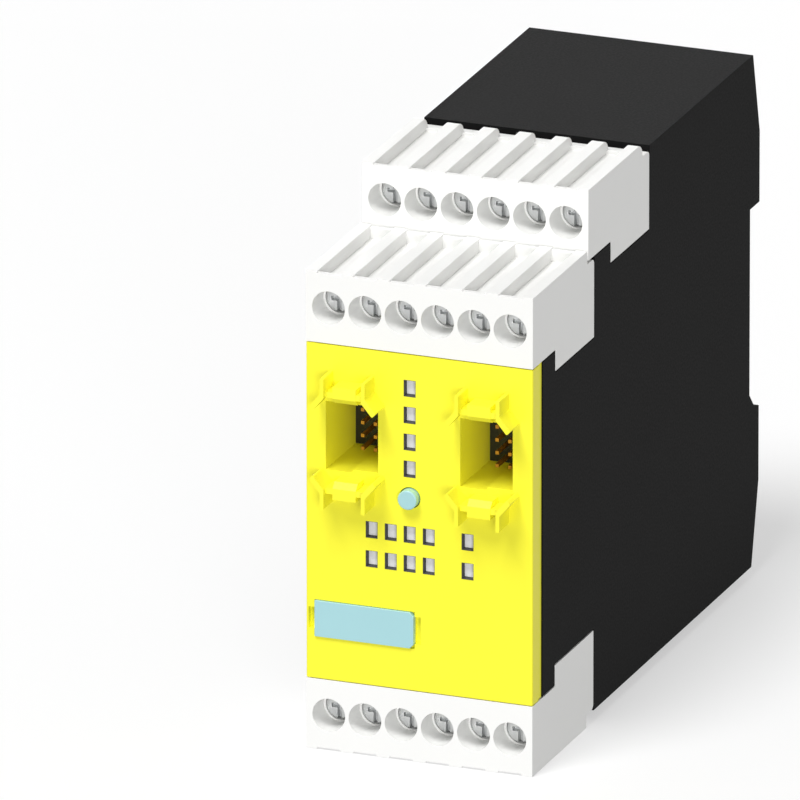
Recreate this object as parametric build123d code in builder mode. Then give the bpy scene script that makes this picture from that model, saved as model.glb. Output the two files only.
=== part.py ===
from build123d import *
import os

os.makedirs("parts", exist_ok=True)

# Safety controller module, 45 mm wide, clipped on a 35 mm rail.
# Depths run back from the front plane, heights up from the lowest rib, all in millimetres.

# Whole module
module_width = 45.0
body_depth = 120.4
guard_reach = 5.1
wall = 1.5
fit_gap = 0.2
middle_depth = (body_depth - guard_reach) / 2

# Terminal blocks: one moulding used three times
poles = 6
block_margin = 0.9
block_height = 13.9
block_ribbed = 28.5
block_depth = 32.1
rib_thick = 2.6
groove_depth = 2.6
lip_front = 1.2
lip_rear = 1.0
lip_drop = 0.35
rib_round = 0.3
shelf_round = 1.0
rear_rib_round = 2.3
rear_lip_height = 0.6
foot_drop = 4.2
foot_start = 12.0
foot_wall = 1.0
front_base = 80.3
rear_base = 92.1
rear_setback = 29.0

# Clamp inside each pole
screw_height = 6.95
bore_wall = 0.7
bore_depth = 6.0
head_gap = 0.55
head_length = 2.2
head_chamfer = 0.3
head_front = 5.6
head_recess = 1.2
slot_width = 0.8
cross_length = 3.2
shank_radius = 1.5
thread_gap = 0.2
shoulder = 2.0
cage_wall = 0.8
cage_near = 2.0
cage_far = 1.5
cage_height = 5.5
cage_travel = 2.0
pole_wall = 1.2
bar_thick = 1.0
bar_gap = 0.5
bar_low = 0.6
wire_space = 3.5
roof = 1.2
blade_reach = 4.0
blade_depth = 25.0
wire_hole_width = 2.15
wire_hole_offset = 0.8

# Housing
housing_top = 104.35
housing_base = 2.15
skirt_depth = 5.2
taper_depth = 3.7
taper_top = 88.2
taper_base = 18.5
rail_centre = 55.5
rail_recess = 5.05
recess_high = 18.5
recess_low = 18.5
ledge_depth = 2.35
ledge_drop = 2.7
ledge_foot = 0.9
cover_rebate = 0.75
hook_gap = 1.3
hook_thick = 2.0
hook_drop = 2.1
hook_width = 10.0
hook_place = 12.0

# Rail slide and its spring
slide_width = 22.8
slide_plate = 2.0
slide_front = 112.8
slide_neck = 18.0
slide_rear = 118.9
slide_foot = 20.0
slide_shoulder = 33.5
nose_top = 39.7
nose_lead = 2.0
nose_flat = 0.4
window_width = 6.4
window_low = 12.1
window_high = 30.0
lug_height = 2.4
lug_width = 4.8
tool_slot_width = 6.0
tool_slot_height = 1.8
tool_slot_base = 1.4
spring_radius = 1.55
spring_wire = 0.5
spring_turns = 6

# Front cover
plate = 2.0
edge_inset = 0.25
edge_depth = 3.2
corner_round = 0.4
socket_edge = 9.15
socket_drop = 17.85
socket_width = 10.4
socket_tall = 13.5
socket_depth = 15.5
socket_wall = 1.0
key_rise = 0.4
key_setback = 0.5

# Socket guards
guard_root = 0.5
guard_block_width = 4.6
guard_block_reach = 4.1
guard_block_low = 7.75
guard_block_high = 11.05
guard_bevel = 1.1
ear_thick = 0.75
ear_round = 0.26
ear_half = 4.47
ear_bend = 9.75
ear_high = 12.95
ear_flare = 6.65
ear_low = 6.4
web_low = 8.9
web_high = 10.0
web_reach = 4.0

# Snap arms that hold the cover in the housing
snap_place = 13.0
snap_width = 5.0
snap_thick = 1.1
snap_reach = 5.4
snap_hook = 1.0
snap_flat = 0.8
snap_lead = 1.4

# Indicator windows, light guides and button
column_place = -1.9
window_wide = 2.4
window_tall = 3.3
window_recess = 1.3
guide_gap = 0.12
guide_head = 4.7
guide_stem = 1.2
column_rises = (11.2, 5.95, 0.65, -4.65)
row_rises = (-17.55, -23.3)
row_places = (-9.45, -5.65, -1.9, 1.9, 9.6)
button_place = -1.85
button_drop = 5.6
button_radius = 1.9
button_round = 0.3
button_reach = 1.6
button_travel = 0.8
collar_radius = 2.8
collar_thick = 1.0
stem_radius = 1.2
plunger_radius = 1.6
plunger_reach = 0.5
plunger_length = 2.4
switch_size = 6.0
switch_depth = 3.5

# Label plate
label_width = 19.7
label_tall = 7.1
label_edge = 1.8
label_rise = 8.3
label_proud = 0.4
label_pocket = 0.8
label_corner = 0.8
notch_width = 1.3
notch_tall = 5.4
notch_depth = 1.2
side_notch_tall = 4.2

# Boards and what they carry
board_thick = 1.6
board_front = 21.5
board_rear = 108.0
board_gap = 0.3
header_base = 2.5
pin_spacing = 2.54
pin_side = 0.64
pin_columns = 2
pin_rows = 5
pin_reach = 6.65
pin_gap = 0.03
led_size = 1.6
led_thick = 0.7
relay_clear = 1.8
relay_long = 40.0
relay_tall = 13.0
relay_spacing = 17.0
relay_depth = 65.0
relay_height = 45.0
capacitor_radius = 5.0
capacitor_length = 16.0
capacitor_spacing = 13.0
capacitor_depth = 86.0
capacitor_height = 80.0
chip_side = 14.0
chip_thick = 1.4
chip_spacing = 24.0
chip_depth = 60.0
chip_height = 28.0
fork_wall = 0.7
fork_depth = 2.8
fork_length = 4.5
cut_over = 1.0

# Worked out from the sizes above
half_width = module_width / 2
front_face = -middle_depth
pole_pitch = (module_width - 2 * block_margin) / poles
groove_width = pole_pitch - rib_thick
bore_radius = (pole_pitch - bore_wall) / 2
head_radius = bore_radius - head_gap
chamber_width = pole_pitch - pole_wall
cage_width = chamber_width - 2 * fit_gap
bar_width = cage_width - 2 * cage_wall - 2 * bar_gap
fork_width = bar_width + 2 * fork_wall
groove_floor = block_height - groove_depth
chamber_top = groove_floor - roof
shoulder_rear = head_front + head_length + fit_gap + shoulder
cage_front = shoulder_rear + fit_gap + cage_travel
bar_front = cage_front + cage_near + 2 * fit_gap
cage_depth = bar_front + bar_thick + wire_space + cage_far - cage_front
chamber_rear = cage_front + cage_depth + 2 * fit_gap
cover_base = block_height + fit_gap
cover_top = front_base - fit_gap
cover_middle = (cover_base + cover_top) / 2
cover_tall = cover_top - cover_base
snap_end = skirt_depth + snap_reach
snap_catch = snap_end - snap_lead - snap_flat
socket_offset = half_width - socket_edge
socket_height = cover_top - socket_drop
column_heights = [socket_height + rise for rise in column_rises]
row_heights = [socket_height + rise for rise in row_rises]
button_height = column_heights[-1] - button_drop
label_left = label_edge - half_width
label_base = cover_base + label_rise
recess_floor = body_depth - rail_recess
recess_top = rail_centre + recess_high
recess_base = rail_centre - recess_low
board_back = socket_depth + header_base
cavity_half = half_width - wall
board_place = 2 * pole_pitch
relay_reach = 2 * board_place - board_thick - chip_thick - relay_clear

# Planes: side views take (depth, height), front views take (across, height)
side = Plane(origin=(0, front_face, 0), x_dir=(0, 1, 0), z_dir=(1, 0, 0))
block_side = Plane.YZ

# Where the three terminal blocks sit
seats = {
    "front": Location((0, front_face, front_base)),
    "rear": Location((0, front_face + rear_setback, rear_base)),
    "bottom": Location((0, front_face, block_height), (0, 180, 0)),
}


def facing(depth):
    """A plane that faces the front, at a depth behind the front plane."""
    return Plane(origin=(0, front_face + depth, 0), x_dir=(1, 0, 0), z_dir=(0, -1, 0))


def block_facing(depth):
    """The same, at a depth behind a terminal block's own front."""
    return Plane(origin=(0, depth, 0), x_dir=(1, 0, 0), z_dir=(0, -1, 0))


def pole_place(index):
    """How far across a block a pole's screw stands."""
    return (index - (poles - 1) / 2) * pole_pitch


def save(name, part):
    """Label one piece and write it."""
    part.label = name
    export_step(part, "parts/" + name + ".step")


# Outline of the housing in side view, with bays for the three blocks
def housing_outline(inset=0.0, across=0.0):
    bay_front = foot_start - fit_gap
    bay_rear = block_depth + fit_gap
    low_bay = block_height + foot_drop + fit_gap
    front_bay = front_base - foot_drop - fit_gap
    rear_bay = rear_base - foot_drop - fit_gap
    with BuildSketch(side.offset(across)) as outline:
        with BuildLine():
            Polyline(
                (skirt_depth, cover_base),
                (skirt_depth, cover_top),
                (bay_front, cover_top),
                (bay_front, front_bay),
                (bay_rear, front_bay),
                (bay_rear, rear_base - fit_gap),
                (rear_setback + bay_front, rear_base - fit_gap),
                (rear_setback + bay_front, rear_bay),
                (rear_setback + bay_rear, rear_bay),
                (rear_setback + bay_rear, housing_top),
                (body_depth - taper_depth, housing_top),
                (body_depth, taper_top),
                (body_depth, recess_top),
                (recess_floor, recess_top),
                (recess_floor, recess_base),
                (recess_floor + ledge_depth, recess_base - ledge_drop),
                (body_depth, recess_base - ledge_drop - ledge_foot),
                (body_depth, taper_base),
                (body_depth - taper_depth, housing_base),
                (bay_rear, housing_base),
                (bay_rear, low_bay),
                (bay_front, low_bay),
                (bay_front, cover_base),
                close=True,
            )
        make_face()
        if inset:
            offset(amount=-inset, kind=Kind.INTERSECTION)
    return outline.sketch


# Slots in the bay floors, one for each contact blade
blade_slots = {
    "front": (blade_depth, front_base - foot_drop, -1),
    "rear": (rear_setback + blade_depth, rear_base - foot_drop, -1),
    "bottom": (blade_depth, block_height + foot_drop, 1),
}

# Housing: one black moulding, open at the front and on its left side
channel_front = slide_front - fit_gap - wall - spring_wire
channel_half = slide_width / 2 + fit_gap
neck_half = slide_neck / 2 + fit_gap
groove_rear = slide_front + slide_plate + fit_gap
with BuildPart() as housing:
    extrude(housing_outline(), amount=half_width, both=True)
    extrude(housing_outline(wall), amount=cavity_half, both=True, mode=Mode.SUBTRACT)
    with BuildSketch(facing(skirt_depth)):
        with Locations((0, cover_middle)):
            Rectangle(2 * cavity_half, cover_tall - 2 * wall)
    extrude(amount=-2 * wall, mode=Mode.SUBTRACT)
    extrude(housing_outline(cover_rebate, -half_width), amount=wall, mode=Mode.SUBTRACT)
    # Rails for the slide, built up from the rear wall
    with BuildSketch(side):
        with BuildLine():
            Polyline(
                (channel_front, housing_base),
                (channel_front, recess_base),
                (recess_floor, recess_base),
                (recess_floor + ledge_depth, recess_base - ledge_drop),
                (body_depth, recess_base - ledge_drop - ledge_foot),
                (body_depth, taper_base),
                (body_depth - taper_depth, housing_base),
                close=True,
            )
        make_face()
    extrude(amount=channel_half + wall, both=True)
    with BuildSketch(side):
        with Locations((slide_front - fit_gap, 0)):
            Rectangle(
                groove_rear - slide_front + fit_gap,
                slide_shoulder + fit_gap,
                align=(Align.MIN, Align.MIN),
            )
    extrude(amount=channel_half, both=True, mode=Mode.SUBTRACT)
    with BuildSketch(side):
        with Locations((groove_rear, 0)):
            Rectangle(rail_recess * 2, slide_shoulder + fit_gap, align=(Align.MIN, Align.MIN))
        with Locations((recess_floor + hook_gap - fit_gap, slide_shoulder)):
            Rectangle(rail_recess * 2, nose_top - slide_shoulder, align=(Align.MIN, Align.MIN))
    extrude(amount=neck_half, both=True, mode=Mode.SUBTRACT)
    with BuildSketch(side):
        with Locations((slide_front - fit_gap, window_low)):
            Rectangle(
                2 * (spring_radius + spring_wire) - slide_plate,
                slide_shoulder - window_low,
                align=(Align.CENTER, Align.MIN),
            )
    extrude(amount=window_width / 2, both=True, mode=Mode.SUBTRACT)
    # Lug that the spring stands on
    with BuildSketch(side):
        with Locations((channel_front + wall / 2, window_low + fit_gap)):
            Rectangle(
                slide_front + slide_plate - channel_front - wall / 2,
                lug_height,
                align=(Align.MIN, Align.MIN),
            )
    extrude(amount=lug_width / 2, both=True)
    # Two fixed hooks for the rail's upper edge
    for hook_side in (-1, 1):
        with BuildSketch(side.offset(hook_side * hook_place)):
            with BuildLine():
                Polyline(
                    (recess_floor + hook_gap, recess_top + wall / 2),
                    (recess_floor + hook_gap, recess_top - hook_drop),
                    (recess_floor + hook_gap + hook_thick / 2, recess_top - hook_drop),
                    (recess_floor + hook_gap + hook_thick, recess_top - hook_drop / 2),
                    (recess_floor + hook_gap + hook_thick, recess_top + wall / 2),
                    close=True,
                )
            make_face()
        extrude(amount=hook_width / 2, both=True)
    # Windows that the front cover's arms snap into
    for across in (-snap_place, snap_place):
        with BuildSketch(side.offset(across)):
            with Locations((snap_catch - fit_gap, cover_middle)):
                Rectangle(snap_flat + snap_lead + 2 * fit_gap, cover_tall, align=(Align.MIN, Align.CENTER))
        extrude(amount=snap_width / 2 + fit_gap, both=True, mode=Mode.SUBTRACT)
    # Blade slots through the bay floors
    for slot_depth, slot_height, way in blade_slots.values():
        with BuildSketch(Plane.XY.offset(slot_height)):
            with Locations((0, front_face + slot_depth + bar_thick / 2)):
                with GridLocations(pole_pitch, 1, poles, 1):
                    Rectangle(bar_width + 2 * fit_gap, bar_thick + 2 * fit_gap)
        extrude(amount=way * (wall + 2 * fit_gap), mode=Mode.SUBTRACT)
save("housing", housing.part)

# Side cover: closes the housing on its left side, let into a rebate
cover_inset = cover_rebate + fit_gap / 2
with BuildPart() as side_cover:
    extrude(housing_outline(cover_inset, -half_width), amount=wall)
save("side_cover", side_cover.part)

# Front cover: one yellow moulding with two sockets and their guards
guide_places = [(column_place, height) for height in column_heights]
guide_places += [(place, height) for height in row_heights for place in row_places]
with BuildPart() as front_cover:
    with BuildSketch(facing(0)):
        with Locations((0, cover_middle)):
            Rectangle(module_width, cover_tall)
    extrude(amount=-edge_depth)
    with BuildSketch(facing(edge_depth)):
        with Locations((0, cover_middle)):
            Rectangle(module_width - 2 * edge_inset, cover_tall)
    extrude(amount=-(skirt_depth - edge_depth))
    fillet(front_cover.faces().sort_by(Axis.Y)[0].edges().filter_by(Axis.Z), corner_round)
    with BuildSketch(facing(plate)):
        with Locations((0, cover_middle)):
            Rectangle(2 * cavity_half, cover_tall - 2 * wall)
    extrude(amount=-skirt_depth, mode=Mode.SUBTRACT)
    # Locating rim that enters the housing
    with BuildSketch(facing(plate)):
        with Locations((0, cover_middle)):
            Rectangle(2 * cavity_half, cover_tall - 2 * wall)
            Rectangle(2 * (cavity_half - wall), cover_tall - 4 * wall, mode=Mode.SUBTRACT)
    extrude(amount=-(skirt_depth - plate))
    with BuildSketch(facing(skirt_depth)):
        with Locations((0, cover_middle)):
            Rectangle(2 * (cavity_half - fit_gap / 2), cover_tall - 2 * wall - fit_gap)
            Rectangle(2 * (cavity_half - wall), cover_tall - 4 * wall, mode=Mode.SUBTRACT)
    extrude(amount=-wall)
    # Four arms whose hooks snap into the housing's windows
    for across in (-snap_place, snap_place):
        for up in (-1, 1):
            face = cover_middle + up * (cover_tall / 2 - wall - fit_gap)
            with BuildSketch(side.offset(across)):
                with BuildLine():
                    Polyline(
                        (skirt_depth, face),
                        (snap_catch, face),
                        (snap_catch, face + up * snap_hook),
                        (snap_end - snap_lead, face + up * snap_hook),
                        (snap_end, face),
                        (snap_end, face - up * snap_thick),
                        (skirt_depth, face - up * snap_thick),
                        close=True,
                    )
                make_face()
            extrude(amount=snap_width / 2, both=True)
    for socket_side in (-1, 1):
        place = socket_side * socket_offset
        with BuildSketch(facing(plate)):
            with Locations((place, socket_height)):
                Rectangle(socket_width + 2 * socket_wall, socket_tall + 2 * socket_wall)
        extrude(amount=-(socket_depth - plate))
        with BuildSketch(facing(0)):
            with Locations((place, socket_height)):
                Rectangle(socket_width, socket_tall)
        extrude(amount=-socket_depth, mode=Mode.SUBTRACT)
        # Raised half of the socket's floor that keys the plug
        with BuildSketch(facing(key_setback)):
            with Locations((place, socket_height - socket_tall / 2)):
                Rectangle(socket_width / 2, key_rise, align=(Align.MIN, Align.MIN))
        extrude(amount=-(socket_depth - key_setback))
        for up in (-1, 1):
            # Block of the guard, bevelled towards the socket
            guard_side = Plane(
                origin=(place, front_face, socket_height), x_dir=(0, 1, 0), z_dir=(1, 0, 0)
            )
            with BuildSketch(guard_side):
                with BuildLine():
                    Polyline(
                        (guard_root, up * guard_block_low),
                        (-guard_block_reach + guard_bevel, up * guard_block_low),
                        (-guard_block_reach, up * (guard_block_low + guard_bevel)),
                        (-guard_block_reach, up * guard_block_high),
                        (guard_root, up * guard_block_high),
                        close=True,
                    )
                make_face()
            extrude(amount=guard_block_width / 2, both=True)
            # Web and two flared ears
            with BuildSketch(facing(-web_reach)):
                with Locations((place, socket_height + up * (web_low + web_high) / 2)):
                    Rectangle(2 * ear_half - ear_thick, web_high - web_low)
            extrude(amount=-(web_reach + guard_root))
            for across in (-1, 1):
                with BuildSketch(facing(-guard_reach)):
                    with BuildLine():
                        inner = ear_half - ear_thick
                        Polyline(
                            (place + across * inner, socket_height + up * ear_high),
                            (place + across * ear_half, socket_height + up * ear_high),
                            (place + across * ear_half, socket_height + up * ear_bend),
                            (place + across * ear_flare, socket_height + up * (ear_low + ear_thick)),
                            (place + across * (ear_flare - ear_thick), socket_height + up * ear_low),
                            (place + across * inner, socket_height + up * (ear_bend - ear_thick)),
                            close=True,
                        )
                    make_face()
                    fillet(vertices(), ear_round)
                extrude(amount=-(guard_reach + guard_root))
    # Windows, button hole and the label's pocket
    with BuildSketch(facing(0)):
        with Locations(*guide_places):
            Rectangle(window_wide, window_tall)
        with Locations((button_place, button_height)):
            Circle(button_radius + fit_gap)
    extrude(amount=-plate, mode=Mode.SUBTRACT)
    with BuildSketch(facing(0)):
        with Locations((label_left + label_width / 2, label_base + label_tall / 2)):
            Rectangle(label_width + fit_gap, label_tall + fit_gap)
    extrude(amount=-label_pocket, mode=Mode.SUBTRACT)
    with BuildSketch(facing(0)):
        with Locations((label_left + label_width, label_base + label_tall / 2)):
            Rectangle(notch_width, notch_tall, align=(Align.MIN, Align.CENTER))
        with Locations((label_left, label_base + label_tall / 2)):
            Rectangle(notch_width, side_notch_tall, align=(Align.MAX, Align.CENTER))
    extrude(amount=-notch_depth, mode=Mode.SUBTRACT)
save("front_cover", front_cover.part)

# Label plate, blank, chamfered at its right corners
with BuildPart() as label_plate:
    with BuildSketch(facing(-label_proud)) as label_face:
        with Locations((label_left + label_width / 2, label_base + label_tall / 2)):
            Rectangle(label_width, label_tall)
        chamfer(label_face.vertices().group_by(Axis.X)[-1], label_corner)
    extrude(amount=-(label_proud + label_pocket))
save("label_plate", label_plate.part)

# Terminal block: six poles in one moulding, ribbed on its outer side
with BuildPart() as terminal_block:
    with BuildSketch(block_side):
        with BuildLine():
            Polyline(
                (0, 0),
                (0, block_height),
                (block_ribbed - rib_round, block_height),
            )
            RadiusArc(
                (block_ribbed - rib_round, block_height),
                (block_ribbed, block_height - rib_round),
                rib_round,
            )
            Polyline(
                (block_ribbed, block_height - rib_round),
                (block_ribbed, groove_floor),
                (block_depth - shelf_round, groove_floor),
            )
            RadiusArc(
                (block_depth - shelf_round, groove_floor),
                (block_depth, groove_floor - shelf_round),
                shelf_round,
            )
            Polyline(
                (block_depth, groove_floor - shelf_round),
                (block_depth, -foot_drop),
                (foot_start, -foot_drop),
                (foot_start, 0),
                (0, 0),
            )
        make_face()
    extrude(amount=half_width, both=True)
    with BuildSketch(Plane.XY.offset(block_height)):
        with Locations((0, block_ribbed / 2)):
            with GridLocations(pole_pitch, 1, poles, 1):
                Rectangle(groove_width, block_ribbed + 2 * cut_over)
    extrude(amount=-lip_drop, mode=Mode.SUBTRACT)
    with BuildSketch(Plane.XY.offset(block_height)):
        with Locations((0, (block_ribbed + lip_front - lip_rear) / 2)):
            with GridLocations(pole_pitch, 1, poles, 1):
                Rectangle(groove_width, block_ribbed - lip_front - lip_rear)
    extrude(amount=-groove_depth, mode=Mode.SUBTRACT)
    # Driver bore, seat of the head and hole for the shank
    for radius, start, end in (
        (bore_radius, 0, bore_depth),
        (head_radius + fit_gap, bore_depth, head_front + head_length + fit_gap),
        (shank_radius + fit_gap, head_front + head_length + fit_gap, shoulder_rear),
    ):
        with BuildSketch(block_facing(start)):
            with Locations((0, screw_height)):
                with GridLocations(pole_pitch, 1, poles, 1):
                    Circle(radius)
        extrude(amount=-(end - start), mode=Mode.SUBTRACT)
    # Clamp chambers, open downwards, with the slot of each contact bar
    for index in range(poles):
        with BuildSketch(block_side.offset(pole_place(index))):
            with BuildLine():
                Polyline(
                    (shoulder_rear, screw_height - cage_height / 2 - 2 * fit_gap),
                    (shoulder_rear, chamber_top),
                    (chamber_rear, chamber_top),
                    (chamber_rear, -foot_drop),
                    (foot_start + foot_wall, -foot_drop),
                    (foot_start + foot_wall, screw_height - cage_height / 2 - 2 * fit_gap),
                    close=True,
                )
            make_face()
        extrude(amount=chamber_width / 2, both=True, mode=Mode.SUBTRACT)
        with BuildSketch(block_side.offset(pole_place(index))):
            with Locations((chamber_rear, -foot_drop)):
                Rectangle(
                    blade_depth + bar_thick + fit_gap / 2 - chamber_rear,
                    foot_drop + bar_low + bar_thick + fit_gap / 2,
                    align=(Align.MIN, Align.MIN),
                )
            with Locations((bar_front - fit_gap / 2, chamber_top)):
                Rectangle(bar_thick + fit_gap, roof / 2, align=(Align.MIN, Align.MIN))
        extrude(amount=bar_width / 2 + fit_gap / 2, both=True, mode=Mode.SUBTRACT)
    with BuildSketch(Plane.XY.offset(groove_floor)):
        with Locations((wire_hole_offset, bar_front + bar_thick + fit_gap)):
            with GridLocations(pole_pitch, 1, poles, 1):
                Rectangle(wire_hole_width, wire_space - fit_gap, align=(Align.CENTER, Align.MIN))
    extrude(amount=-roof, mode=Mode.SUBTRACT)

# The rear block: the same moulding with rounded rib ends and lower lips behind
with BuildPart() as rear_block:
    add(terminal_block.part)
    with BuildSketch(block_side):
        with BuildLine():
            RadiusArc(
                (block_ribbed - rear_rib_round, block_height),
                (block_ribbed, block_height - rear_rib_round),
                rear_rib_round,
            )
            Polyline(
                (block_ribbed, block_height - rear_rib_round),
                (block_ribbed, block_height),
                (block_ribbed - rear_rib_round, block_height),
            )
        make_face()
    extrude(amount=half_width, both=True, mode=Mode.SUBTRACT)
    with BuildSketch(Plane.XY.offset(block_height)):
        with Locations((0, block_ribbed)):
            with GridLocations(pole_pitch, 1, poles, 1):
                Rectangle(groove_width, lip_rear, align=(Align.CENTER, Align.MAX))
    extrude(amount=rear_lip_height - groove_depth, mode=Mode.SUBTRACT)

# Contact bars of one block: from the clamp down to a blade under the foot
with BuildPart() as contact_bars:
    for index in range(poles):
        with BuildSketch(block_side.offset(pole_place(index))):
            with BuildLine():
                Polyline(
                    (bar_front, chamber_top + roof / 2),
                    (bar_front + bar_thick, chamber_top + roof / 2),
                    (bar_front + bar_thick, bar_low + bar_thick),
                    (blade_depth + bar_thick, bar_low + bar_thick),
                    (blade_depth + bar_thick, -foot_drop - blade_reach),
                    (blade_depth, -foot_drop - blade_reach),
                    (blade_depth, bar_low),
                    (bar_front, bar_low),
                    close=True,
                )
            make_face()
        extrude(amount=bar_width / 2, both=True)

# Terminal screw with a slot crossed by a shorter one
with BuildPart() as terminal_screw:
    with BuildSketch(block_facing(head_front)):
        Circle(head_radius)
    extrude(amount=-head_length)
    chamfer(terminal_screw.edges().filter_by(GeomType.CIRCLE).sort_by(Axis.Y)[0], head_chamfer)
    with BuildSketch(block_facing(head_front + head_length)):
        Circle(shank_radius)
    extrude(amount=-(bar_front - fit_gap - head_front - head_length))
    with BuildSketch(block_facing(head_front)):
        Rectangle(slot_width, 2 * head_radius)
        Rectangle(cross_length, slot_width)
    extrude(amount=-head_recess, mode=Mode.SUBTRACT)

# Clamp cage: a ring round the bar and the wire, threaded at its near wall
with BuildPart() as clamp_cage:
    with BuildSketch(Plane.XY.offset(-cage_height / 2)):
        with Locations((0, cage_front + cage_depth / 2)):
            Rectangle(cage_width, cage_depth)
        with Locations((0, cage_front + cage_near)):
            Rectangle(
                cage_width - 2 * cage_wall,
                cage_depth - cage_near - cage_far,
                align=(Align.CENTER, Align.MIN),
                mode=Mode.SUBTRACT,
            )
    extrude(amount=cage_height)
    with BuildSketch(block_facing(cage_front)):
        Circle(shank_radius + thread_gap)
    extrude(amount=-cage_near, mode=Mode.SUBTRACT)

blocks = {"front": terminal_block.part, "rear": rear_block.part, "bottom": terminal_block.part}
for block_name, seat in seats.items():
    save(block_name + "_terminal_block", blocks[block_name].moved(seat))
    save(block_name + "_contact_bars", contact_bars.part.moved(seat))
    for index in range(poles):
        pole = seat * Location((pole_place(index), 0, screw_height))
        save(f"{block_name}_screw_{index + 1}", terminal_screw.part.moved(pole))
        save(f"{block_name}_cage_{index + 1}", clamp_cage.part.moved(pole))

# Contact forks under the bay floors, one round each blade
with BuildPart() as contact_forks:
    for slot_depth, slot_height, way in blade_slots.values():
        with BuildSketch(Plane.XY.offset(slot_height + way * (wall + fit_gap))):
            with Locations((0, front_face + slot_depth + bar_thick / 2)):
                with GridLocations(pole_pitch, 1, poles, 1):
                    Rectangle(fork_width, fork_depth)
                    Rectangle(bar_width + fit_gap, bar_thick + fit_gap, mode=Mode.SUBTRACT)
        extrude(amount=way * fork_length)
save("contact_forks", contact_forks.part)

# Front board with the indicator lamps, behind the two header bases
board_tall = front_base - foot_drop - block_height - foot_drop - 2 * (wall + fit_gap + board_gap)
with BuildPart() as front_board:
    with BuildSketch(facing(board_back)):
        with Locations((0, (front_base + block_height) / 2)):
            Rectangle(2 * (cavity_half - board_gap), board_tall)
    extrude(amount=-board_thick)
    with BuildSketch(facing(board_back)):
        with Locations(*guide_places):
            Rectangle(led_size, led_size / 2)
    extrude(amount=led_thick)
save("front_board", front_board.part)

# Light guides: a window head on a thin stem, one to each lamp
with BuildPart() as light_guides:
    with BuildSketch(facing(window_recess)):
        with Locations(*guide_places):
            Rectangle(window_wide - 2 * guide_gap, window_tall - 2 * guide_gap)
    extrude(amount=-guide_head)
    with BuildSketch(facing(window_recess + guide_head)):
        with Locations(*guide_places):
            Rectangle(guide_stem, guide_stem)
    extrude(amount=-(board_back - led_thick - fit_gap - window_recess - guide_head))
save("light_guides", light_guides.part)

# Header bases and their pins
with BuildPart() as header_bases:
    with BuildSketch(facing(socket_depth)):
        with GridLocations(2 * socket_offset, 1, 2, 1):
            with Locations((0, socket_height)):
                Rectangle(socket_width + 2 * socket_wall, socket_tall + 2 * socket_wall)
                with GridLocations(pin_spacing, pin_spacing, pin_columns, pin_rows):
                    Rectangle(pin_side + 2 * pin_gap, pin_side + 2 * pin_gap, mode=Mode.SUBTRACT)
    extrude(amount=-header_base)
save("header_bases", header_bases.part)

with BuildPart() as header_pins:
    with BuildSketch(facing(socket_depth - pin_reach)):
        with GridLocations(2 * socket_offset, 1, 2, 1):
            with Locations((0, socket_height)):
                with GridLocations(pin_spacing, pin_spacing, pin_columns, pin_rows):
                    Rectangle(pin_side, pin_side)
    extrude(amount=-(pin_reach + header_base))
save("header_pins", header_pins.part)

# Reset button, the switch's plunger and the switch
switch_front = board_back - switch_depth
plunger_front = switch_front - plunger_reach
with BuildPart() as reset_button:
    for radius, start, end in (
        (button_radius, -button_reach, plate + fit_gap),
        (collar_radius, plate + fit_gap, plate + fit_gap + collar_thick),
        (stem_radius, plate + fit_gap + collar_thick, plunger_front),
    ):
        with BuildSketch(facing(start)):
            with Locations((button_place, button_height)):
                Circle(radius)
        extrude(amount=-(end - start))
    fillet(reset_button.edges().filter_by(GeomType.CIRCLE).sort_by(Axis.Y)[0], button_round)
save("reset_button", reset_button.part)

with BuildPart() as switch_plunger:
    with BuildSketch(facing(plunger_front)):
        with Locations((button_place, button_height)):
            Circle(plunger_radius)
    extrude(amount=-plunger_length)
save("switch_plunger", switch_plunger.part)

with BuildPart() as reset_switch:
    with BuildSketch(facing(switch_front)):
        with Locations((button_place, button_height)):
            Rectangle(switch_size, switch_size)
    extrude(amount=-switch_depth)
    with BuildSketch(facing(switch_front)):
        with Locations((button_place, button_height)):
            Circle(plunger_radius + fit_gap)
    extrude(amount=-(plunger_length - plunger_reach + button_travel + fit_gap), mode=Mode.SUBTRACT)
save("reset_switch", reset_switch.part)


# Boards that stand along the module's two sides, in the housing's outline
def side_board(across):
    with BuildPart() as board:
        extrude(housing_outline(wall + board_gap, across), amount=board_thick / 2, both=True)
        with BuildSketch(side.offset(across)):
            with Locations((board_front, 0)):
                Rectangle(board_rear - board_front, housing_top, align=(Align.MIN, Align.MIN))
        extrude(amount=board_thick, both=True, mode=Mode.INTERSECT)
    return board.part


bare_board = side_board(-board_place)
with BuildPart() as main_board:
    add(bare_board)
    with BuildSketch(side.offset(-board_place + board_thick / 2)):
        with Locations((chip_depth, chip_height)):
            with GridLocations(chip_spacing, 1, 2, 1):
                Rectangle(chip_side, chip_side)
    extrude(amount=chip_thick)
save("main_board", main_board.part)
save("relay_board", side_board(board_place))

# Two relays on the right board, two capacitors on the left one
with BuildPart() as relays:
    with BuildSketch(side.offset(board_place - board_thick / 2)):
        with Locations((relay_depth, relay_height)):
            with GridLocations(1, relay_spacing, 1, 2):
                Rectangle(relay_long, relay_tall)
    extrude(amount=-relay_reach)
save("relays", relays.part)

with BuildPart() as capacitors:
    with BuildSketch(side.offset(-board_place + board_thick / 2)):
        with Locations((capacitor_depth, capacitor_height)):
            with GridLocations(capacitor_spacing, 1, 2, 1):
                Circle(capacitor_radius)
    extrude(amount=capacitor_length)
save("capacitors", capacitors.part)

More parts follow.
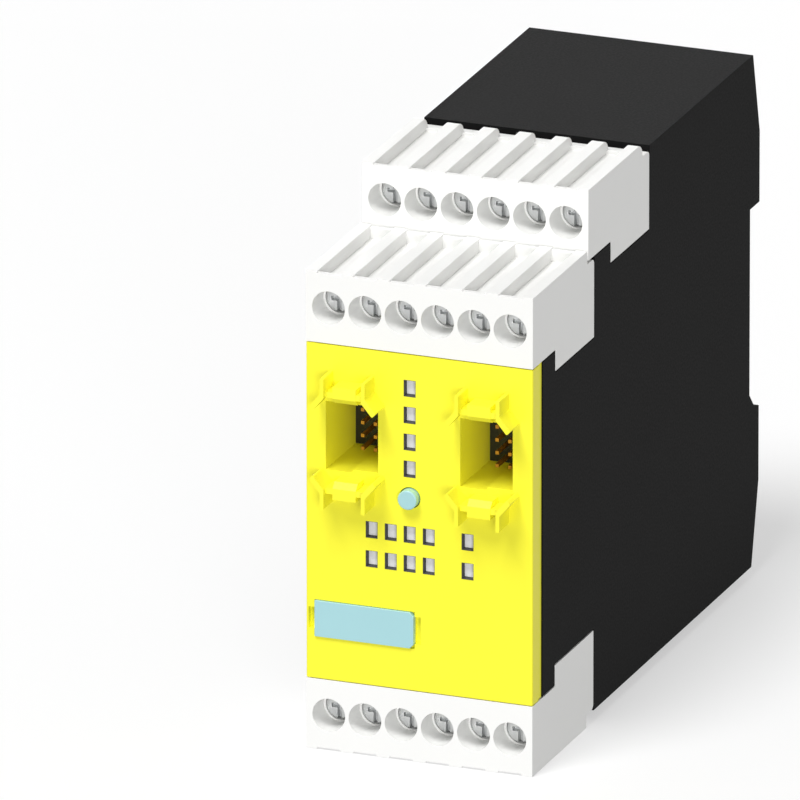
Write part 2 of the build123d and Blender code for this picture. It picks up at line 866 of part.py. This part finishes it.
# Rail slide: a plate in side grooves, with a neck, a nose and a window for the spring
with BuildPart() as rail_slide:
    with BuildSketch(side):
        with Locations((slide_front, 0)):
            Rectangle(slide_plate, slide_shoulder, align=(Align.MIN, Align.MIN))
    extrude(amount=slide_width / 2, both=True)
    with BuildSketch(side):
        with BuildLine():
            nose_front = recess_floor + hook_gap
            Polyline(
                (slide_front, slide_foot),
                (slide_front, slide_shoulder),
                (nose_front, slide_shoulder),
                (nose_front, nose_top),
                (nose_front + nose_flat, nose_top),
                (slide_rear, nose_top - nose_lead),
                (slide_rear, slide_foot),
                close=True,
            )
        make_face()
    extrude(amount=slide_neck / 2, both=True)
    with BuildSketch(facing(slide_front)):
        with Locations((0, window_low)):
            Rectangle(window_width, window_high - window_low, align=(Align.CENTER, Align.MIN))
        with Locations((0, tool_slot_base)):
            Rectangle(tool_slot_width, tool_slot_height, align=(Align.CENTER, Align.MIN))
    extrude(amount=-(slide_rear - slide_front), mode=Mode.SUBTRACT)
save("rail_slide", rail_slide.part)

# Coil spring between the housing's lug and the top of the slide's window
spring_low = window_low + fit_gap + lug_height + spring_wire / 2 + fit_gap / 2
spring_high = window_high - spring_wire / 2 - fit_gap / 2
spring_axis = front_face + slide_front + slide_plate / 2
with BuildPart() as slide_spring:
    with BuildLine() as coil:
        Helix(
            pitch=(spring_high - spring_low) / spring_turns,
            height=spring_high - spring_low,
            radius=spring_radius,
            center=(0, spring_axis, spring_low),
        )
    with BuildSketch(Plane(origin=coil.line @ 0, z_dir=coil.line % 0)):
        Circle(spring_wire / 2)
    sweep()
save("slide_spring", slide_spring.part)
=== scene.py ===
import math

import bmesh
import bpy
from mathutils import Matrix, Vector


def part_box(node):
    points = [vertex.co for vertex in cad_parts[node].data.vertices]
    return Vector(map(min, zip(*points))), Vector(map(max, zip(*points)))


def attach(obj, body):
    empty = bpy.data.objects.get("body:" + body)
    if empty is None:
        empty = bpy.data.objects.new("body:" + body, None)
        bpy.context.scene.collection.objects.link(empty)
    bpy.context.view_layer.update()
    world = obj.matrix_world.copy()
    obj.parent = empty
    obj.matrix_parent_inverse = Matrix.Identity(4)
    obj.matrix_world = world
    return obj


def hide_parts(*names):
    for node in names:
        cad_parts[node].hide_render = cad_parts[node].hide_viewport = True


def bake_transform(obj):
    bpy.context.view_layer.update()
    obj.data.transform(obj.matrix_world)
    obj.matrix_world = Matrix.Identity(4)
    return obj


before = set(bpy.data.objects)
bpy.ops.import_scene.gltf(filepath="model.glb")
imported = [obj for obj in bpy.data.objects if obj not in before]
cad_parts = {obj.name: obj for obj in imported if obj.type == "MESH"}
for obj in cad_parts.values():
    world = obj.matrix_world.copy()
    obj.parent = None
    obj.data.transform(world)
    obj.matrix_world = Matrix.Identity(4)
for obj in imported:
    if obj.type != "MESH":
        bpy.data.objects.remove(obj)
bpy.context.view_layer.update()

MM = 0.001

# The picture's own view: a parallel projection, drawn here with a very long lens
VIEW_AZIMUTH_DEGREES = 20.98
VIEW_ELEVATION_DEGREES = 19.58
VIEW_WIDTH_MM = 148.9
VIEW_TARGET_MM = (-13.88, -31.36, 61.0)
LENS_MM = 1500.0
SENSOR_MM = 36.0

# The camera's view starts this far in front of it and ends this far behind the module, in metres
NEAREST_SEEN = 0.1
SEEN_BEHIND = 8.0

# Light levels, set so that the front and top show their colours about as written and the side is darker
SKY_LEVEL = 0.25
GROUND_LEVEL = 0.52
KEY_LEVEL = 0.78
KEY_DIRECTION = (-0.12, -0.45, 0.885)
FILL_LEVEL = 0.42
FILL_DIRECTION = (0.46, -0.87, 0.15)
BACK_LEVEL = 0.38
BACK_DIRECTION = (-0.56, 0.83, 0.04)
LAMP_SPREAD_DEGREES = 24.0

# The floor lies just under the module, and half of its white takes no shadow, so the shadow is faint
FLOOR_RADIUS_MM = 2000.0
FLOOR_SIDES = 96
FLOOR_DROP_MM = 0.05
FLOOR_COLOUR = "#FCFCFC"
FLOOR_GLOW = 0.5

# Small rounds that a mould or a tool leaves on every edge sharper than the angle
MOULDED_EDGE_MM = 0.22
FINE_EDGE_MM = 0.10
EDGE_STEPS = 2
EDGE_DEGREES = 35.0

# Points closer than the seam are one point, and faces that turn less than the angle are one face
SEAM_MM = 0.002
FLAT_DEGREES = 1.0

# Sizes of slow changes of tone, and the two values that most of a noise lies between
PLASTIC_DRIFT_MM = 18.0
METAL_DRIFT_MM = 3.0
NOISE_LOW = 0.3
NOISE_HIGH = 0.7

# Sockets of a mix of colours, which share their names with other sockets
MIX_FACTOR = 0
MIX_FIRST = 6
MIX_SECOND = 7
MIX_RESULT = 2

# Dark sleeves round the light guides, in the gap that the cover's windows leave; their dark grey is painted
# shade on the windows' inner walls
SHADE_SLEEVE_THICK_MM = 0.08
SHADE_SLEEVE_CLEAR_MM = 0.02
SHADE_SLEEVE_REACH_MM = 1.2
SHADE_SLEEVE_BACK_MM = 0.3

# Points of a light guide that lie this close to its front make up its visible face
GUIDE_FACE_MM = 0.02

# Thread on the shank of each terminal screw, behind its head; it runs out over a part of a turn
THREAD_PITCH_MM = 0.5
THREAD_RADIUS_MM = 1.5
THREAD_HEIGHT_MM = 0.12
THREAD_ROOT_MM = 0.36
THREAD_START_MM = 2.6
THREAD_END_MM = 0.4
THREAD_RUN_OUT_TURNS = 0.25
THREAD_STEPS = 16

# Coil spring of the rail slide, with closed turns at each end
SPRING_WIRE_MM = 0.5
SPRING_TURNS = 8
SPRING_CLOSED_TURNS = 1
SPRING_STEPS = 28
SPRING_WIRE_STEPS = 3

BLOCKS = ("front", "rear", "bottom")
POLES = range(1, 7)


def linear(hex_colour):
    """Turn an sRGB hex colour into the linear colour that a shader takes."""
    channels = [int(hex_colour[i:i + 2], 16) / 255 for i in (1, 3, 5)]
    return [c / 12.92 if c <= 0.04045 else ((c + 0.055) / 1.055) ** 2.4 for c in channels] + [1.0]


def per_mm(size_mm):
    """Texture scale at which one feature is about size_mm across."""
    return 1 / (size_mm * MM)


def add_node(owner, kind, inputs=None, **settings):
    """Add one node, with its settings, and with each input set to a value or linked to a socket."""
    node = owner.node_tree.nodes.new(kind)
    for name, value in settings.items():
        setattr(node, name, value)
    for name, value in (inputs or {}).items():
        if isinstance(value, bpy.types.NodeSocket):
            owner.node_tree.links.new(value, node.inputs[name])
        else:
            node.inputs[name].default_value = value
    return node


def empty_material(name):
    """A material with no nodes yet."""
    material = bpy.data.materials.new(name)
    material.use_nodes = True
    material.node_tree.nodes.clear()
    return material


def moulded_plastic(name, colour, shade, roughness, polish, grain_mm, grain_depth_mm, ior, sheen=0.5):
    """Injection-moulded plastic: its tone drifts a little, and the mould's grain breaks up its gloss.

    A real mould's grain is about 0.1 mm. It is drawn a few times as coarse, because it wouldn't show.
    """
    material = empty_material(name)
    place = add_node(material, "ShaderNodeTexCoord")
    at = place.outputs["Object"]
    drift = add_node(
        material, "ShaderNodeTexNoise",
        {"Vector": at, "Scale": per_mm(PLASTIC_DRIFT_MM), "Detail": 3.0},
    )
    tone = add_node(
        material, "ShaderNodeMix",
        {MIX_FACTOR: drift.outputs["Fac"], MIX_FIRST: linear(colour), MIX_SECOND: linear(shade)},
        data_type="RGBA",
    )
    grain = add_node(
        material, "ShaderNodeTexNoise",
        {"Vector": at, "Scale": per_mm(grain_mm), "Detail": 2.0},
    )
    gloss = add_node(
        material, "ShaderNodeMapRange",
        {
            "Value": grain.outputs["Fac"], "From Min": NOISE_LOW, "From Max": NOISE_HIGH,
            "To Min": polish, "To Max": roughness,
        },
    )
    relief = add_node(
        material, "ShaderNodeBump",
        {"Height": grain.outputs["Fac"], "Strength": 1.0, "Distance": grain_depth_mm * MM},
    )
    shader = add_node(
        material, "ShaderNodeBsdfPrincipled",
        {
            "Base Color": tone.outputs[MIX_RESULT], "Roughness": gloss.outputs[0],
            "Normal": relief.outputs[0], "IOR": ior, "Specular IOR Level": sheen,
        },
    )
    add_node(material, "ShaderNodeOutputMaterial", {"Surface": shader.outputs[0]})
    return material


def worked_metal(name, colour, tarnish, roughness, polish, mark_mm, mark_depth_mm):
    """Metal with fine tool marks and a thin uneven film, which dulls it in patches.

    Real marks are some hundredths of a millimetre wide. They are drawn coarser, because they wouldn't show.
    """
    material = empty_material(name)
    place = add_node(material, "ShaderNodeTexCoord")
    at = place.outputs["Object"]
    film = add_node(
        material, "ShaderNodeTexNoise",
        {"Vector": at, "Scale": per_mm(METAL_DRIFT_MM), "Detail": 4.0},
    )
    tone = add_node(
        material, "ShaderNodeMix",
        {MIX_FACTOR: film.outputs["Fac"], MIX_FIRST: linear(colour), MIX_SECOND: linear(tarnish)},
        data_type="RGBA",
    )
    gloss = add_node(
        material, "ShaderNodeMapRange",
        {
            "Value": film.outputs["Fac"], "From Min": NOISE_LOW, "From Max": NOISE_HIGH,
            "To Min": polish, "To Max": roughness,
        },
    )
    marks = add_node(
        material, "ShaderNodeTexNoise",
        {"Vector": at, "Scale": per_mm(mark_mm), "Detail": 1.0},
    )
    relief = add_node(
        material, "ShaderNodeBump",
        {"Height": marks.outputs["Fac"], "Strength": 1.0, "Distance": mark_depth_mm * MM},
    )
    shader = add_node(
        material, "ShaderNodeBsdfPrincipled",
        {
            "Base Color": tone.outputs[MIX_RESULT], "Roughness": gloss.outputs[0],
            "Normal": relief.outputs[0], "Metallic": 1.0,
        },
    )
    add_node(material, "ShaderNodeOutputMaterial", {"Surface": shader.outputs[0]})
    return material


def black_polyamide():
    """Glass-filled polyamide, moulded in a spark-eroded tool: near black, with a dull fine grain."""
    return moulded_plastic(
        "moulded black polyamide", "#1A1A1A", "#161616", roughness=0.66, polish=0.52,
        grain_mm=0.45, grain_depth_mm=0.012, ior=1.53, sheen=0.02,
    )


def yellow_polycarbonate():
    """Polycarbonate blend, moulded and fully dyed: strong clear yellow with a soft satin face."""
    return moulded_plastic(
        "moulded yellow polycarbonate", "#FBF73C", "#FAF338", roughness=0.50, polish=0.38,
        grain_mm=0.40, grain_depth_mm=0.005, ior=1.58, sheen=0.22,
    )


def grey_polyamide():
    """Unfilled polyamide, moulded in a smooth tool: warm off-white that takes soft highlights."""
    return moulded_plastic(
        "moulded pale grey polyamide", "#F4F4F2", "#F0F0EE", roughness=0.50, polish=0.38,
        grain_mm=0.50, grain_depth_mm=0.005, ior=1.53, sheen=0.4,
    )


def blue_polystyrene():
    """Polystyrene marker plate and cap, moulded: light grey-blue, smoother than the housings."""
    return moulded_plastic(
        "moulded light blue polystyrene", "#A6D3D9", "#9FCCD2", roughness=0.42, polish=0.30,
        grain_mm=0.35, grain_depth_mm=0.003, ior=1.59,
    )


def black_polyester():
    """Moulded polyester of the pin strips and switch: black with a satin sheen."""
    return moulded_plastic(
        "moulded black polyester", "#17181D", "#121317", roughness=0.40, polish=0.30,
        grain_mm=0.30, grain_depth_mm=0.003, ior=1.57,
    )


def painted_shade_grey():
    """Dark grey, dull material of the light guides' sleeves, which paint shade on the windows' inner walls.
    """
    return moulded_plastic(
        "dark grey painted window shade", "#4C4C50", "#434347", roughness=0.80, polish=0.68,
        grain_mm=0.30, grain_depth_mm=0.004, ior=1.52,
    )


def relay_case():
    """Moulded relay case: cream polyester with a satin face."""
    return moulded_plastic(
        "moulded cream polyester", "#E4DCC6", "#DCD3BB", roughness=0.42, polish=0.32,
        grain_mm=0.35, grain_depth_mm=0.003, ior=1.57,
    )


def white_light_guide():
    """Milky acrylic light guide: white, smooth, a little light goes in and comes back softened."""
    material = moulded_plastic(
        "milky acrylic", "#FDFDFC", "#F8F8F8", roughness=0.34, polish=0.24,
        grain_mm=0.60, grain_depth_mm=0.002, ior=1.49,
    )
    shader = next(n for n in material.node_tree.nodes if n.type == "BSDF_PRINCIPLED")
    shader.inputs["Subsurface Weight"].default_value = 0.15
    shader.inputs["Subsurface Radius"].default_value = (1.0, 1.0, 1.0)
    shader.inputs["Subsurface Scale"].default_value = 0.6 * MM
    return material


def coated_board():
    """Glass-fibre board under solder mask: deep green, with tracks that show through as paler lines."""
    material = empty_material("solder-masked glass fibre")
    place = add_node(material, "ShaderNodeTexCoord")
    tracks = add_node(
        material, "ShaderNodeTexBrick",
        {
            "Vector": place.outputs["Object"], "Scale": per_mm(6.0), "Color1": linear("#0F4A26"),
            "Color2": linear("#125230"), "Mortar": linear("#2F7A48"), "Mortar Size": 0.05,
        },
    )
    shader = add_node(
        material, "ShaderNodeBsdfPrincipled",
        {"Base Color": tracks.outputs["Color"], "Roughness": 0.35, "IOR": 1.55},
    )
    add_node(material, "ShaderNodeOutputMaterial", {"Surface": shader.outputs[0]})
    return material


def zinc_plated_screw():
    """Turned steel, zinc plated: pale bluish grey, bright on its rims and dull in its slot."""
    return worked_metal(
        "zinc-plated turned steel", "#DDDEDE", "#CBCDCE", roughness=0.50, polish=0.38,
        mark_mm=0.18, mark_depth_mm=0.004,
    )


def zinc_plated_strip():
    """Bent steel strip, zinc plated: a duller grey than the screws."""
    return worked_metal(
        "zinc-plated steel strip", "#B4B7B8", "#9FA3A5", roughness=0.48, polish=0.34,
        mark_mm=0.30, mark_depth_mm=0.004,
    )


def tinned_brass():
    """Stamped brass strip under tin: warm pale metal with faint rolling marks."""
    return worked_metal(
        "tinned brass strip", "#D9CBA4", "#C3B389", roughness=0.40, polish=0.28,
        mark_mm=0.25, mark_depth_mm=0.003,
    )


def gold_plated_pin():
    """Drawn square wire, gold plated: brownish gold, darkened as painted shade of the socket."""
    return worked_metal(
        "gold-plated drawn wire", "#D09A3E", "#B07C30", roughness=0.55, polish=0.42,
        mark_mm=0.20, mark_depth_mm=0.002,
    )


def spring_wire():
    """Drawn spring steel: mid grey with faint drawing marks."""
    return worked_metal(
        "drawn spring steel", "#8E9194", "#74777A", roughness=0.40, polish=0.28,
        mark_mm=0.20, mark_depth_mm=0.003,
    )


def capacitor_can():
    """Drawn aluminium can: light and even, with a soft sheen."""
    return worked_metal(
        "drawn aluminium", "#CFD1D3", "#BFC2C5", roughness=0.38, polish=0.28,
        mark_mm=0.40, mark_depth_mm=0.002,
    )


def dress(material, *nodes):
    """Give one material to CAD nodes whose shape is kept."""
    for name in nodes:
        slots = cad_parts[name].data.materials
        slots.clear()
        slots.append(material)


def soften(width_mm, *nodes):
    """Round the sharp edges of CAD nodes by a small width, as a mould or a tool leaves them."""
    for name in nodes:
        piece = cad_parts[name]
        weld = piece.modifiers.new("join seams", "WELD")
        weld.merge_threshold = SEAM_MM * MM
        flat = piece.modifiers.new("flat faces", "DECIMATE")
        flat.decimate_type = "DISSOLVE"
        flat.angle_limit = math.radians(FLAT_DEGREES)
        edge = piece.modifiers.new("edge round", "BEVEL")
        edge.width = width_mm * MM
        edge.segments = EDGE_STEPS
        edge.limit_method = "ANGLE"
        edge.angle_limit = math.radians(EDGE_DEGREES)
        even = piece.modifiers.new("flat shading", "WEIGHTED_NORMAL")
        even.mode = "FACE_AREA"
        even.weight = 100


def in_each_block(kind):
    """Node names of a piece that each terminal block has once."""
    return [f"{block}_{kind}" for block in BLOCKS]


def at_each_pole(kind):
    """Node names of a piece that each terminal block has at every pole."""
    return [f"{block}_{kind}_{pole}" for block in BLOCKS for pole in POLES]


def dress_the_frame():
    """Materials and edge rounds of every CAD node that stays as it is."""
    dress(black_polyamide(), "housing", "side_cover", "rail_slide")
    dress(yellow_polycarbonate(), "front_cover")
    dress(grey_polyamide(), *in_each_block("terminal_block"))
    dress(blue_polystyrene(), "label_plate", "reset_button")
    dress(black_polyester(), "header_bases", "reset_switch", "switch_plunger")
    dress(white_light_guide(), "light_guides")
    dress(coated_board(), "front_board", "main_board", "relay_board")
    dress(relay_case(), "relays")
    dress(capacitor_can(), "capacitors")
    dress(zinc_plated_screw(), *at_each_pole("screw"))
    dress(zinc_plated_strip(), *at_each_pole("cage"))
    dress(tinned_brass(), "contact_forks", *in_each_block("contact_bars"))
    dress(gold_plated_pin(), "header_pins")
    soften(MOULDED_EDGE_MM, "housing", "side_cover", "rail_slide")
    soften(MOULDED_EDGE_MM, *in_each_block("terminal_block"))
    soften(FINE_EDGE_MM, "front_cover", "label_plate", "reset_button", "light_guides", "header_bases")
    soften(FINE_EDGE_MM, *at_each_pole("screw"))


def joined_points(unvisited):
    """Take one point and all that are joined to it by edges out of a set of mesh points."""
    reached = [unvisited.pop()]
    for point in reached:
        for edge in point.link_edges:
            other = edge.other_vert(point)
            if other in unvisited:
                unvisited.remove(other)
                reached.append(other)
    return reached


def guide_faces():
    """Each light guide's visible face, as (left, right, low, high, front), from the guides' own solids."""
    mesh = bmesh.new()
    mesh.from_mesh(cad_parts["light_guides"].data)
    bmesh.ops.remove_doubles(mesh, verts=mesh.verts, dist=SEAM_MM * MM)
    unvisited = set(mesh.verts)
    faces = []
    while unvisited:
        guide = [point.co for point in joined_points(unvisited)]
        front = min(c.y for c in guide)
        face = [c for c in guide if c.y < front + GUIDE_FACE_MM * MM]
        across = [c.x for c in face]
        upward = [c.z for c in face]
        faces.append((min(across), max(across), min(upward), max(upward), front))
    mesh.free()
    return sorted(faces)


def add_sleeve(mesh, left, right, low, high, front):
    """Add one square tube round a guide's face, from a little behind the face towards the window's rim."""
    rings = []
    for clear in (SHADE_SLEEVE_CLEAR_MM + SHADE_SLEEVE_THICK_MM, SHADE_SLEEVE_CLEAR_MM):
        grow = clear * MM
        corners = (
            (left - grow, low - grow), (right + grow, low - grow),
            (right + grow, high + grow), (left - grow, high + grow),
        )
        for depth in (front - SHADE_SLEEVE_REACH_MM * MM, front + SHADE_SLEEVE_BACK_MM * MM):
            rings.append([mesh.verts.new((x, depth, z)) for x, z in corners])
    outer_front, outer_back, inner_front, inner_back = rings
    walls = (
        (outer_front, outer_back), (outer_back, inner_back),
        (inner_back, inner_front), (inner_front, outer_front),
    )
    for one, two in walls:
        for i in range(4):
            mesh.faces.new((one[i], one[i - 1], two[i - 1], two[i]))


def paint_window_shade():
    """Thin dark sleeves, painted shade that makes the windows' inner walls look dark."""
    mesh = bmesh.new()
    for face in guide_faces():
        add_sleeve(mesh, *face)
    bmesh.ops.recalc_face_normals(mesh, faces=mesh.faces)
    data = bpy.data.meshes.new("window_shade_sleeves")
    mesh.to_mesh(data)
    mesh.free()
    data.materials.append(painted_shade_grey())
    shade_sleeve_object = bpy.data.objects.new("window_shade_sleeves", data)
    bpy.context.scene.collection.objects.link(shade_sleeve_object)
    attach(shade_sleeve_object, "module")


def thread_ridge(length_mm, material):
    """Mesh of one right-handed thread ridge along Y, from the screw's head towards its tip."""
    turns = length_mm / THREAD_PITCH_MM
    count = round(turns * THREAD_STEPS)
    section = (
        (THREAD_RADIUS_MM, -THREAD_ROOT_MM / 2),
        (THREAD_RADIUS_MM + THREAD_HEIGHT_MM, 0.0),
        (THREAD_RADIUS_MM, THREAD_ROOT_MM / 2),
    )
    points = []
    for step in range(count + 1):
        turn = turns * step / count
        grown = min(1.0, turn / THREAD_RUN_OUT_TURNS, (turns - turn) / THREAD_RUN_OUT_TURNS)
        for radius, along in section:
            reach = THREAD_RADIUS_MM + (radius - THREAD_RADIUS_MM) * grown
            points.append((
                reach * MM * math.sin(2 * math.pi * turn),
                (THREAD_START_MM + turn * THREAD_PITCH_MM + along * grown) * MM,
                reach * MM * math.cos(2 * math.pi * turn),
            ))
    faces = []
    row = len(section)
    for step in range(count):
        for side in range(row - 1):
            at = row * step + side
            faces.append((at, at + 1, at + row + 1, at + row))
    ridge = bpy.data.meshes.new("thread_ridge")
    ridge.from_pydata(points, [], faces)
    ridge.materials.append(material)
    return ridge


def thread_the_screws():
    """Give every terminal screw its thread; all of them share one mesh."""
    low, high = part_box("front_screw_1")
    length_mm = (high.y - low.y) / MM - THREAD_START_MM - THREAD_END_MM
    ridge = thread_ridge(length_mm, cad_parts["front_screw_1"].data.materials[0])
    for screw, name in zip(at_each_pole("screw"), at_each_pole("thread")):
        low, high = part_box(screw)
        thread = bpy.data.objects.new(name, ridge)
        thread.location = ((low.x + high.x) / 2, low.y, (low.z + high.z) / 2)
        bpy.context.scene.collection.objects.link(thread)
        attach(thread, screw)


def wind_spring():
    """The rail slide's coil spring, wound in the CAD spring's place from its foot on the housing's lug; the
    CAD spring is hidden.
    """
    low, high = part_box("slide_spring")
    wire = SPRING_WIRE_MM * MM
    across = (low.x + high.x) / 2
    depth = (low.y + high.y) / 2
    radius = (high.x - low.x - wire) / 2
    open_turns = SPRING_TURNS - 2 * SPRING_CLOSED_TURNS
    open_rise = high.z - low.z - (2 * SPRING_CLOSED_TURNS + 1) * wire
    coil = bpy.data.curves.new("slide_coil", "CURVE")
    coil.dimensions = "3D"
    coil.bevel_depth = wire / 2
    coil.bevel_resolution = SPRING_WIRE_STEPS
    coil.use_fill_caps = True
    path = coil.splines.new("POLY")
    path.points.add(SPRING_TURNS * SPRING_STEPS)
    for step, point in enumerate(path.points):
        turn = step / SPRING_STEPS
        opened = min(max(turn - SPRING_CLOSED_TURNS, 0), open_turns)
        rise = wire / 2 + (turn - opened) * wire + open_rise * opened / open_turns
        point.co = (
            across + radius * math.cos(2 * math.pi * turn),
            depth + radius * math.sin(2 * math.pi * turn),
            low.z + rise,
            1.0,
        )
    wound = bpy.data.objects.new("slide_coil_path", coil)
    bpy.context.scene.collection.objects.link(wound)
    bpy.context.view_layer.update()
    mesh = bpy.data.meshes.new_from_object(wound)
    bpy.data.objects.remove(wound)
    mesh.shade_smooth()
    mesh.materials.clear()
    mesh.materials.append(spring_wire())
    spring = bpy.data.objects.new("slide_coil", mesh)
    bpy.context.scene.collection.objects.link(spring)
    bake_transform(spring)
    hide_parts("slide_spring")


def seen_directly(owner):
    """Socket that is 1 for rays from the camera or off gloss and glass, and 0 for light that bounces."""
    rays = add_node(owner, "ShaderNodeLightPath")
    clear = add_node(
        owner, "ShaderNodeMath",
        {0: rays.outputs["Is Camera Ray"], 1: rays.outputs["Is Transmission Ray"]}, operation="MAXIMUM",
    )
    seen = add_node(
        owner, "ShaderNodeMath",
        {0: clear.outputs[0], 1: rays.outputs["Is Glossy Ray"]}, operation="MAXIMUM",
    )
    return seen.outputs[0]


def lay_floor():
    """A wide white floor with the module's faint shadow, clear from below and for light that bounces."""
    bpy.ops.mesh.primitive_circle_add(
        vertices=FLOOR_SIDES, radius=FLOOR_RADIUS_MM * MM, fill_type="NGON",
        location=(0, 0, -FLOOR_DROP_MM * MM),
    )
    floor = bpy.context.object
    floor.name = "floor"
    material = empty_material("matt white studio floor")
    matt = add_node(material, "ShaderNodeBsdfDiffuse", {"Color": linear(FLOOR_COLOUR)})
    plain = add_node(material, "ShaderNodeEmission", {"Color": (1, 1, 1, 1), "Strength": 1.0})
    white = add_node(
        material, "ShaderNodeMixShader", {0: FLOOR_GLOW, 1: matt.outputs[0], 2: plain.outputs[0]}
    )
    clear = add_node(material, "ShaderNodeBsdfTransparent")
    side = add_node(material, "ShaderNodeNewGeometry")
    shown = add_node(
        material, "ShaderNodeMath", {0: seen_directly(material), 1: side.outputs["Backfacing"]},
        operation="SUBTRACT", use_clamp=True,
    )
    surface = add_node(
        material, "ShaderNodeMixShader", {0: shown.outputs[0], 1: clear.outputs[0], 2: white.outputs[0]}
    )
    add_node(material, "ShaderNodeOutputMaterial", {"Surface": surface.outputs[0]})
    floor.data.materials.append(material)


def aim_sun(name, level, direction):
    """A distant lamp of even light that shines from one direction."""
    lamp_data = bpy.data.lights.new(name, "SUN")
    lamp_data.energy = level * math.pi
    lamp_data.angle = math.radians(LAMP_SPREAD_DEGREES)
    lamp = bpy.data.objects.new(name, lamp_data)
    lamp.rotation_mode = "QUATERNION"
    lamp.rotation_quaternion = Vector(direction).to_track_quat("Z", "Y")
    bpy.context.scene.collection.objects.link(lamp)


def surround_with_sky():
    """A world with a dim sky and a brighter ground, which is plain white where it is seen."""
    world = bpy.data.worlds.new("studio surroundings")
    world.use_nodes = True
    world.node_tree.nodes.clear()
    direction = add_node(world, "ShaderNodeTexCoord")
    parts = add_node(world, "ShaderNodeSeparateXYZ", {"Vector": direction.outputs["Generated"]})
    above = add_node(
        world, "ShaderNodeMath", {0: parts.outputs["Z"], 1: 0.0}, operation="GREATER_THAN"
    )
    given = add_node(
        world, "ShaderNodeMapRange",
        {"Value": above.outputs[0], "To Min": GROUND_LEVEL, "To Max": SKY_LEVEL},
    )
    level = add_node(
        world, "ShaderNodeMapRange",
        {"Value": seen_directly(world), "To Min": given.outputs[0], "To Max": 1.0},
    )
    surroundings = add_node(
        world, "ShaderNodeBackground", {"Color": (1, 1, 1, 1), "Strength": level.outputs[0]}
    )
    add_node(world, "ShaderNodeOutputWorld", {"Surface": surroundings.outputs[0]})
    bpy.context.scene.world = world


def light_the_studio():
    """A key from above, a fill from the front right, a weaker lamp behind, and the sky."""
    aim_sun("key light", KEY_LEVEL, KEY_DIRECTION)
    aim_sun("fill light", FILL_LEVEL, FILL_DIRECTION)
    aim_sun("back light", BACK_LEVEL, BACK_DIRECTION)
    surround_with_sky()


def line_of_sight():
    """Direction from the module back to the camera."""
    azimuth = math.radians(VIEW_AZIMUTH_DEGREES)
    elevation = math.radians(VIEW_ELEVATION_DEGREES)
    return Vector((
        math.sin(azimuth) * math.cos(elevation),
        -math.cos(azimuth) * math.cos(elevation),
        math.sin(elevation),
    ))


def set_camera():
    """A camera on the picture's line of sight, so far off that its view is almost parallel."""
    back = line_of_sight()
    data = bpy.data.cameras.new("picture camera")
    data.lens = LENS_MM
    data.sensor_width = SENSOR_MM
    distance = VIEW_WIDTH_MM * MM * LENS_MM / SENSOR_MM
    data.clip_start = NEAREST_SEEN
    data.clip_end = distance + SEEN_BEHIND
    camera = bpy.data.objects.new("picture camera", data)
    camera.rotation_mode = "QUATERNION"
    camera.rotation_quaternion = (-back).to_track_quat("-Z", "Y")
    camera.location = Vector(VIEW_TARGET_MM) * MM + back * distance
    bpy.context.scene.collection.objects.link(camera)
    bpy.context.scene.camera = camera


dress_the_frame()
paint_window_shade()
thread_the_screws()
wind_spring()
lay_floor()
light_the_studio()
set_camera()
bpy.context.scene.view_settings.view_transform = "Standard"
